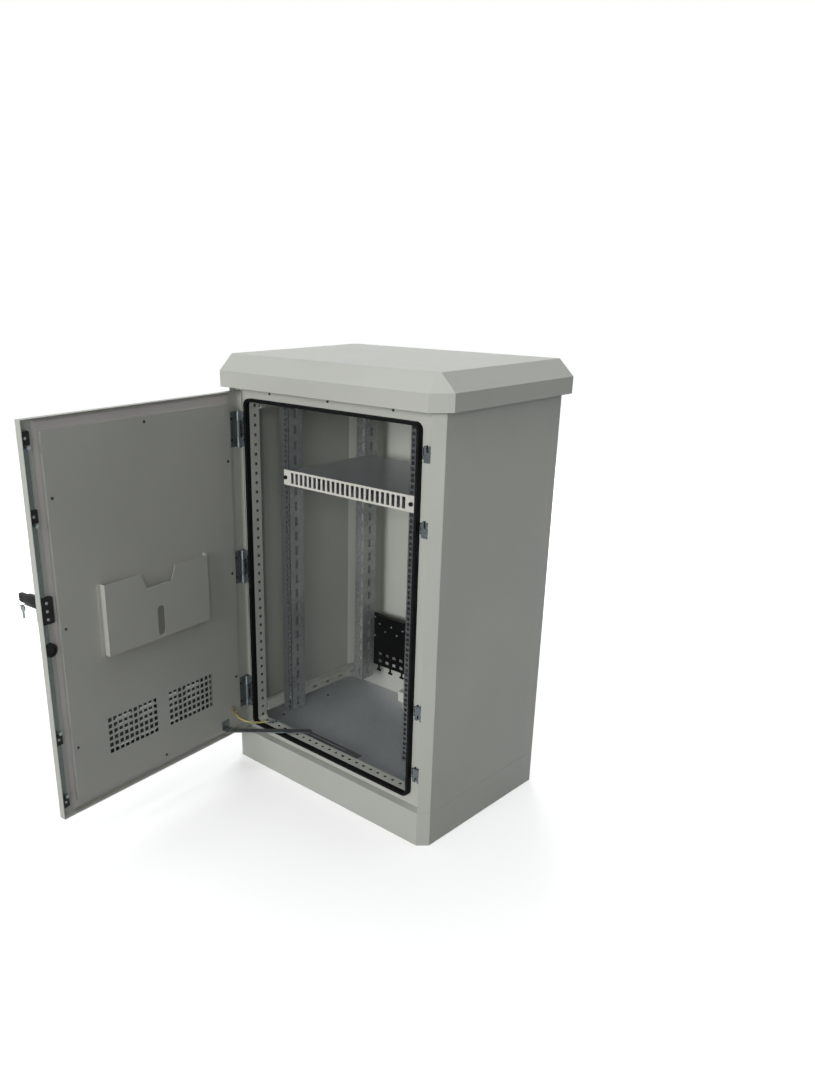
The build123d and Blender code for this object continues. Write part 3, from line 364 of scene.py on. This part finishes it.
finishes = {
    "cabinet_paint": powder_coat("cabinet_paint", *LIGHT_PAINT),
    "liner_paint": powder_coat("liner_paint", srgb(192, 193, 185), srgb(184, 185, 177)),
    "zinc": zinc_plate("zinc", srgb(150, 157, 160), srgb(116, 124, 128), FINE_SPANGLE, (0.26, 0.40),
                       metal=0.8),
    "rack_steel": zinc_plate("rack_steel", srgb(184, 188, 186), srgb(130, 136, 136), RAIL_SPANGLE, RAIL_SHINE,
                             metal=0.4),
    "rod_steel": zinc_plate("rod_steel", srgb(104, 114, 110), srgb(84, 94, 90), FINE_SPANGLE, (0.34, 0.46),
                            metal=0.5),
    "seal_rubber": moulded("seal_rubber", srgb(11, 11, 13), srgb(20, 20, 22), FINE_GRAIN, depth=0.0001,
                           shine=(0.62, 0.8), specular=0.12),
    "black_plastic": moulded("black_plastic", srgb(9, 9, 11), srgb(18, 18, 20), specular=0.22),
    "black_metal": powder_coat("black_metal", srgb(15, 15, 17), srgb(11, 11, 13), FINE_GRAIN, depth=0.0001,
                               specular=0.2),
    "panel_paint": powder_coat("panel_paint", srgb(226, 224, 216), srgb(214, 212, 203), FINE_GRAIN,
                               depth=0.00008),
    "white_plastic": moulded("white_plastic", srgb(214, 213, 205), srgb(196, 194, 185)),
    "handle_metal": moulded("handle_metal", srgb(9, 9, 10), srgb(18, 18, 20), grain=900, depth=0.00006,
                            shine=(0.40, 0.54), specular=0.22),
    "wire_cover": striped_sheath("wire_cover", srgb(216, 200, 128), srgb(150, 156, 96)),
}
DARK_HEAD = zinc_plate("dark_head", srgb(70, 72, 72), srgb(48, 50, 51), spangle=300, shine=(0.26, 0.38),
                       metal=0.8)
# Front rails: zinc with painted shade on the front flange
front_rail_with_painted_shade = zinc_plate("front_rail_with_painted_shade", srgb(184, 190, 189), srgb(140, 146, 147), RAIL_SPANGLE, RAIL_SHINE,
                        metal=0.35, zinc_painted_shade=rail_flange_painted_shade)
hinge_zinc = zinc_plate("hinge_zinc", srgb(132, 137, 139), srgb(108, 113, 116), FINE_SPANGLE, (0.30, 0.42),
                        metal=0.4)
# Keepers: zinc with painted shade darkening them towards the face they stand on
keeper_zinc_with_painted_shade = zinc_plate("keeper_zinc_with_painted_shade", srgb(122, 130, 133), srgb(74, 82, 86), spangle=260,
                         shine=(0.20, 0.32), metal=0.8, zinc_painted_shade=keeper_painted_shade)
stay_zinc = zinc_plate("dark_zinc", srgb(122, 127, 129), srgb(96, 101, 104), FINE_SPANGLE, (0.28, 0.42),
                       metal=0.7)
own_finishes = {
    # Shell, front frame and door skin: the light paint with painted shade in their closed hollows
    "body_shell": powder_coat("shell_paint_with_painted_shade", *LIGHT_PAINT, painted_shade=shell_painted_shade),
    "front_frame": powder_coat("frame_paint_with_painted_shade", *LIGHT_PAINT, painted_shade=flange_painted_shade),
    "door_skin": powder_coat("skin_paint_with_painted_shade", *LIGHT_PAINT, painted_shade=vent_painted_shade),
    # Seal frame: lighter, pinker paint than the liner, standing in for the light on its sloped side
    "door_seal_frame": powder_coat("seal_frame_paint_with_painted_light", srgb(214, 209, 207), srgb(206, 201, 199)),
    "earth_lug_door": moulded("lug_sleeve", srgb(178, 154, 82), srgb(150, 130, 74)),
    # Floor plate: zinc with painted shade along its front edge under the flange
    "floor_plate": zinc_plate("floor_zinc_with_painted_shade", srgb(198, 203, 207), srgb(184, 190, 195), SHEET_SPANGLE,
                              (0.36, 0.44), metal=0.3, zinc_painted_shade=floor_painted_shade),
    "patch_tray": zinc_plate("smooth_zinc", srgb(186, 190, 193), srgb(176, 181, 184), SHEET_SPANGLE,
                             (0.30, 0.31), metal=0.3),
    "stay_arm": stay_zinc,
    "stay_track": stay_zinc,
    **{f"rack_rail_front_{side}": front_rail_with_painted_shade for side in ("left", "right")},
    **{f"hinge_door_leaf_{index}": hinge_zinc for index in (1, 2, 3)},
    **{f"keeper_{index}": keeper_zinc_with_painted_shade for index in (1, 2, 3, 4)},
}
slot_of = {part["node"]: part["material_slot"] for part in frame["record"]["subparts"]}
for name, node in nodes.items():
    node.data.materials.clear()
    node.data.materials.append(own_finishes.get(name, finishes[slot_of[name]]))


# Softened edges of sheet metal and mouldings

WELD_REACH = 0.00001
FLAT_ANGLE = math.radians(0.6)
SHARP_ANGLE = math.radians(24)
PLINTH_EDGE = 0.0016
SHEET_EDGE = 0.0010
SMALL_EDGE = 0.0005


def soften(name, width):
    """Rounds the sharp edges of a node by a modifier, its mesh left as it is."""
    node = nodes[name]
    weld = node.modifiers.new("weld", "WELD")
    weld.merge_threshold = WELD_REACH
    flat = node.modifiers.new("flat", "DECIMATE")
    flat.decimate_type = "DISSOLVE"
    flat.angle_limit = FLAT_ANGLE
    bevel = node.modifiers.new("bevel", "BEVEL")
    bevel.width = width
    bevel.segments = 2
    bevel.limit_method = "ANGLE"
    bevel.angle_limit = SHARP_ANGLE
    bevel.use_clamp_overlap = True
    bevel.harden_normals = True


soften("plinth", PLINTH_EDGE)
for name in ("body_shell", "roof_cap", "door_skin"):
    soften(name, SHEET_EDGE)
for name in ("document_pocket", "lock_gearbox", "handle_lever", "key", "terminal_block", "rod_guides"):
    soften(name, SMALL_EDGE)


# Screw heads with a cross recess

HEAD_RINGS = 9
HEAD_STEPS = 32
RECESS_ARM_SHARE = 0.16
RECESS_REACH_SHARE = 0.62
RECESS_DEPTH_SHARE = 0.62
RECESS_RISE_SHARE = 0.6
DOME_SHARE = 0.55
SPLIT_ANGLE = math.radians(38)
SCREW_REACH = 0.0095
GUIDE_REACH = 0.06
DARK_ABOVE = 1.12
DARK_LEFT_OF = -0.3
GEARBOX_MARGIN = 0.005


def clusters(name, reach):
    """Groups of a node's vertices, as arrays, that lie within reach of each group's first one."""
    groups = []
    for vertex in nodes[name].data.vertices:
        for group in groups:
            if (vertex.co - group[0]).length < reach:
                group.append(vertex.co.copy())
                break
        else:
            groups.append([vertex.co.copy()])
    return [np.array([tuple(point) for point in group]) for group in groups]


def middle_of(points):
    """Middle of the box round some points."""
    return Vector((points.min(0) + points.max(0)) / 2)


def pan_head(mesh, centre, outward, radius, height, turn):
    """Adds one rounded head with a cross recess, standing on its foot along outward."""
    across = Matrix.Rotation(turn, 3, outward) @ outward.orthogonal().normalized()
    along = outward.cross(across)
    arm, reach = radius * RECESS_ARM_SHARE, radius * RECESS_REACH_SHARE
    rows = []
    for ring in range(HEAD_RINGS + 1):
        distance = radius * ring / HEAD_RINGS
        row = []
        for step in range(HEAD_STEPS if ring else 1):
            angle = 2 * math.pi * step / HEAD_STEPS
            x, y = distance * math.cos(angle), distance * math.sin(angle)
            level = height * (1 - DOME_SHARE * (distance / radius) ** 3)
            if min(abs(x), abs(y)) < arm and distance < reach:
                level -= height * RECESS_DEPTH_SHARE * (1 - RECESS_RISE_SHARE * distance / reach)
            row.append(mesh.verts.new(centre + across * x + along * y + outward * level))
        rows.append(row)
    foot = [mesh.verts.new(vert.co - outward * (vert.co - centre).dot(outward)) for vert in rows[-1]]
    rows.append(foot)
    for step in range(HEAD_STEPS):
        mesh.faces.new((rows[0][0], rows[1][step], rows[1][(step + 1) % HEAD_STEPS]))
    for inner, outer in zip(rows[1:], rows[2:]):
        for step in range(HEAD_STEPS):
            after = (step + 1) % HEAD_STEPS
            mesh.faces.new((inner[step], outer[step], outer[after], inner[after]))
    mesh.faces.new(foot)


def smooth_piece(mesh, title, material):
    """Object of a mesh with rounded shading and crisp edges."""
    bmesh.ops.recalc_face_normals(mesh, faces=mesh.faces)
    data = bpy.data.meshes.new(title)
    mesh.to_mesh(data)
    mesh.free()
    for face in data.polygons:
        face.use_smooth = True
    piece = bpy.data.objects.new(title, data)
    scene.collection.objects.link(piece)
    data.materials.append(material)
    edges = piece.modifiers.new("edges", "EDGE_SPLIT")
    edges.split_angle = SPLIT_ANGLE
    return piece


def screws(name, body, outward_of, is_dark):
    """Pieces with a detailed head in place of each plain one of a node, dark ones apart from bright ones."""
    for dark, word, material in ((False, "_heads", finishes["zinc"]), (True, "_dark_heads", DARK_HEAD)):
        mesh = bmesh.new()
        for index, points in enumerate(clusters(name, SCREW_REACH)):
            middle = middle_of(points)
            if is_dark(middle) != dark:
                continue
            outward = outward_of(points)
            spread = points @ np.array(outward)
            height = spread.max() - spread.min()
            foot = middle + outward * (spread.min() - middle.dot(outward))
            reach = np.linalg.norm(points - points.mean(0), axis=1).max()
            radius = math.sqrt(max(reach ** 2 - (height / 2) ** 2, 0))
            pan_head(mesh, foot, outward, radius, height, turn=0.7 * index)
        piece = smooth_piece(mesh, name + word, material)
        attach(piece, body)
        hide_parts(name)


def added_heads(title, body, spots, outward, radius, height):
    """Small bright screw heads on spots of a face."""
    mesh = bmesh.new()
    for index, spot in enumerate(spots):
        pan_head(mesh, Vector(spot), outward, radius, height, turn=0.9 * index)
    piece = smooth_piece(mesh, title, finishes["zinc"])
    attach(piece, body)


def body_outward(points):
    """Way that a body screw points: upward if its head lies flat, and forward otherwise."""
    spans = points.max(0) - points.min(0)
    return UPWARD if spans[2] < spans[1] else FORWARD


def is_dark_body_screw(middle):
    """True for the screws of the frame's head, of the hinges and of the floor's left side."""
    return middle.z > DARK_ABOVE or middle.x < DARK_LEFT_OF


def is_dark_door_screw(middle):
    """True for all of the door's screws but those of the lock's gearbox."""
    return middle.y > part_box("lock_gearbox")[1][1] + GEARBOX_MARGIN


screws("body_screws", "cabinet", body_outward, is_dark_body_screw)
screws("door_screws", "door", lambda points: DOOR_INWARD, is_dark_door_screw)


# Small screws of the cable anchor panel and of the rod guides

ANCHOR_PITCH = 0.05
ANCHOR_ROWS = ((9, 0.364), (8, 0.3415))
ANCHOR_CORNER_SIDE = 0.22
ANCHOR_CORNER_HEIGHTS = (0.384, 0.318)
ANCHOR_HEAD_RADIUS = 0.0032
ANCHOR_HEAD_HEIGHT = 0.002
GUIDE_HEAD_RADIUS = 0.0036
GUIDE_HEAD_HEIGHT = 0.0016


def anchor_spots():
    """Two rows of spots on the panel's face, and two spots at each of its ends."""
    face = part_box("cable_anchor_panel")[0][1]
    spots = []
    for count, height in ANCHOR_ROWS:
        start = -ANCHOR_PITCH * (count - 1) / 2
        spots += [(start + ANCHOR_PITCH * column, face, height) for column in range(count)]
    for side in (-ANCHOR_CORNER_SIDE, ANCHOR_CORNER_SIDE):
        spots += [(side, face, height) for height in ANCHOR_CORNER_HEIGHTS]
    return spots


def guide_spots():
    """Middle of each rod guide's inner face."""
    spots = []
    for points in clusters("rod_guides", GUIDE_REACH):
        middle = middle_of(points)
        top = (points @ np.array(DOOR_INWARD)).max()
        spots.append(middle + DOOR_INWARD * (top - middle.dot(DOOR_INWARD)))
    return spots


added_heads("anchor_panel_screws", "cabinet", anchor_spots(), FORWARD, ANCHOR_HEAD_RADIUS, ANCHOR_HEAD_HEIGHT)
added_heads("rod_guide_screws", "door", guide_spots(), DOOR_INWARD, GUIDE_HEAD_RADIUS, GUIDE_HEAD_HEIGHT)


# Earth wire

WIRE_DIAMETER = 0.006
WIRE_POINTS = (
    (-0.32591, -0.31672, 0.17253),
    (-0.32642, -0.31125, 0.16075),
    (-0.31900, -0.30000, 0.14900),
    (-0.30500, -0.28700, 0.14150),
    (-0.29300, -0.26950, 0.13800),
    (-0.28200, -0.25064, 0.13600),
    (-0.27550, -0.23938, 0.13600),
)


def wire_curve():
    """Route of the wire as one smooth spline."""
    curve = bpy.data.curves.new("earth_wire_route", "CURVE")
    curve.dimensions = "3D"
    curve.use_fill_caps = True
    spline = curve.splines.new("NURBS")
    spline.points.add(len(WIRE_POINTS) - 1)
    for point, place in zip(spline.points, WIRE_POINTS):
        point.co = (*place, 1)
    spline.order_u = 3
    spline.use_endpoint_u = True
    spline.resolution_u = 14
    return curve


def earth_wire():
    """Round sheath along the route."""
    curve = wire_curve()
    route = bpy.data.objects.new("earth_wire_route", curve)
    scene.collection.objects.link(route)
    bpy.context.view_layer.update()
    line = bpy.data.meshes.new_from_object(route)
    curve.bevel_depth = WIRE_DIAMETER / 2
    curve.bevel_resolution = 6
    bpy.context.view_layer.update()
    data = bpy.data.meshes.new_from_object(route.evaluated_get(bpy.context.evaluated_depsgraph_get()))
    bpy.data.objects.remove(route)
    bpy.data.meshes.remove(line)
    data.materials.clear()
    data.materials.append(finishes["wire_cover"])
    wire = bpy.data.objects.new("earth_wire_cover", data)
    scene.collection.objects.link(wire)
    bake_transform(wire)
    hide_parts("earth_wire")


earth_wire()


# Floor, light and camera

WHITE = (1, 1, 1, 1)
AMBIENT = (0.104, 0.112, 0.116, 1)
FLOOR_REACH = 30
FLOOR_SEEN = (0.90, 0.90, 0.90, 1)
FLOOR_UNSEEN = (0.13, 0.13, 0.13, 1)
GLOW_NEAR = 0.38
GLOW_FAR = 0.62
GLOW_DISTANCES = (0.7, 2.0)
PICTURE_WIDTH = 815
PICTURE_HEIGHT = 1087
VIEW_MIDDLE = (329.7, 610.3)
FOCAL_PIXELS = 926.8
SENSOR = 36
CAMERA_PLACE = (1.696, -1.957, 1.466)
CAMERA_YAW = math.radians(44.57)
CAMERA_PITCH = math.radians(20.17)


def floor_material():
    """Pale floor that stays white away from the cabinet and keeps the cabinet's shadow near it."""
    material = bpy.data.materials.new("floor")
    material.use_nodes = True
    shading = NodeTree(material.node_tree)
    shading.tree.nodes.clear()
    seen = shading.seen_directly()
    diffuse = shading.node("ShaderNodeBsdfDiffuse")
    shading.feed(diffuse.inputs["Color"], shading.mixed(seen, FLOOR_UNSEEN, FLOOR_SEEN))
    distance = shading.node("ShaderNodeVectorMath", operation="LENGTH")
    shading.feed(distance.inputs[0], shading.node("ShaderNodeTexCoord").outputs["Object"])
    rise = shading.between(distance.outputs["Value"], GLOW_NEAR, GLOW_FAR, *GLOW_DISTANCES)
    glow = shading.node("ShaderNodeEmission")
    shading.feed(glow.inputs["Color"], WHITE)
    shading.feed(glow.inputs["Strength"], shading.calculate("MULTIPLY", seen, rise))
    both = shading.node("ShaderNodeAddShader")
    shading.feed(both.inputs[0], diffuse.outputs[0])
    shading.feed(both.inputs[1], glow.outputs[0])
    shading.feed(shading.node("ShaderNodeOutputMaterial").inputs["Surface"], both.outputs[0])
    return material


def floor():
    """Wide flat floor under the cabinet."""
    corners = [(-1, -1), (1, -1), (1, 1), (-1, 1)]
    data = bpy.data.meshes.new("floor")
    data.from_pydata([(x * FLOOR_REACH, y * FLOOR_REACH, 0) for x, y in corners], [], [(0, 1, 2, 3)])
    data.materials.append(floor_material())
    ground = bpy.data.objects.new("floor", data)
    scene.collection.objects.link(ground)


def sky():
    """White backdrop to look at, with a dim even light from it."""
    world = bpy.data.worlds.new("sky")
    scene.world = world
    world.use_nodes = True
    shading = NodeTree(world.node_tree)
    background = shading.tree.nodes["Background"]
    background.inputs["Strength"].default_value = 1
    shading.feed(background.inputs["Color"], shading.mixed(shading.seen_directly(), AMBIENT, WHITE))


def placed_light(name, kind, direction):
    """A light that shines in a direction."""
    light = bpy.data.objects.new(name, bpy.data.lights.new(name, kind))
    scene.collection.objects.link(light)
    light.rotation_euler = Vector(direction).to_track_quat("-Z", "Y").to_euler()
    return light


def sun_lamp(name, direction, strength, angle):
    """Wide soft sun."""
    light = placed_light(name, "SUN", direction)
    light.data.energy = strength
    light.data.angle = math.radians(angle)


def panel_lamp(name, place, target, width, height, power, spread=180, mirrored=True):
    """Soft rectangular lamp that faces a target, with a narrowed beam and mirrored in gloss where asked."""
    light = placed_light(name, "AREA", Vector(target) - Vector(place))
    light.location = place
    light.visible_glossy = mirrored
    light.data.shape = "RECTANGLE"
    light.data.size = width
    light.data.size_y = height
    light.data.spread = math.radians(spread)
    light.data.energy = power


def camera():
    """Camera at the photograph's place and angle, its shift from where the picture is cropped."""
    level = math.cos(CAMERA_PITCH)
    forward = Vector((-math.sin(CAMERA_YAW) * level, math.cos(CAMERA_YAW) * level, -math.sin(CAMERA_PITCH)))
    right = Vector((math.cos(CAMERA_YAW), math.sin(CAMERA_YAW), 0))
    up = right.cross(forward)
    data = bpy.data.cameras.new("camera")
    data.sensor_width = SENSOR
    data.lens = FOCAL_PIXELS * SENSOR / PICTURE_HEIGHT
    data.shift_x = (PICTURE_WIDTH / 2 - VIEW_MIDDLE[0]) / PICTURE_HEIGHT
    data.shift_y = (VIEW_MIDDLE[1] - PICTURE_HEIGHT / 2) / PICTURE_HEIGHT
    data.clip_end = 200
    view = bpy.data.objects.new("camera", data)
    scene.collection.objects.link(view)
    turn = Matrix((right, up, -forward)).transposed().to_4x4()
    view.matrix_world = Matrix.Translation(CAMERA_PLACE) @ turn
    scene.camera = view


floor()
sky()
panel_lamp("key", place=(0.85, -8.0, 2.6), target=(0.0, -0.3, 1.40), width=3.6, height=3.0, power=47,
           spread=60)
panel_lamp("fill", place=(2.6, -3.1, 1.9), target=(0.0, -0.2, 0.6), width=1.4, height=1.4, power=24)
panel_lamp("rear", place=(-3.4, 3.6, 2.4), target=(0.0, 0.0, 0.6), width=2.4, height=2.0, power=150,
           mirrored=False)
sun_lamp("top", direction=(-0.05, -0.08, -1.0), strength=1.08, angle=42)
camera()
scene.view_settings.view_transform = "Standard"
